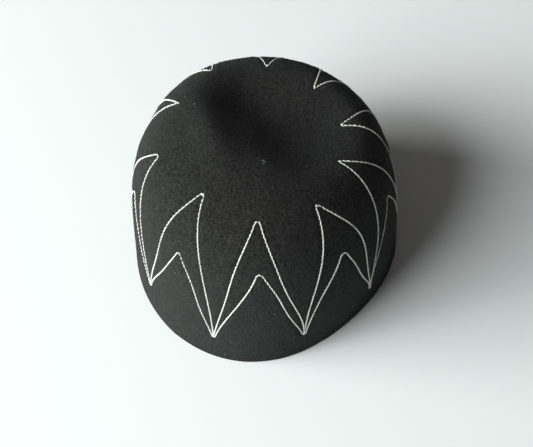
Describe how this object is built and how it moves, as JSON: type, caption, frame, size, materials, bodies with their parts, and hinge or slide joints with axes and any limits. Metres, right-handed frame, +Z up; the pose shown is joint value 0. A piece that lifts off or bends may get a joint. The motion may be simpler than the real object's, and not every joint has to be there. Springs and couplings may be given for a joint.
{
  "type": "embroidered wool cap",
  "caption": "Deep round cap of black wool felt with straight walls, a soft sunken crown and no brim, ringed by a zigzag of cream stitches.",
  "frame": {"origin": "middle of the cap's box in plan, in the plane of the cut rim that it stands on", "axes": "+Z up through the crown, -Y the side that faces the picture's camera, +Y the long way of the oval, +X to the right in the picture"},
  "size_m": [0.182, 0.1949, 0.1222],
  "materials": {
    "black_wool_felt": "matt milled wool felt with a short nap",
    "cream_wool_thread": "soft two-ply wool embroidery yarn"
  },
  "bodies": {
    "root": {"felt_cap": "black_wool_felt"}
  },
  "joints": []
}
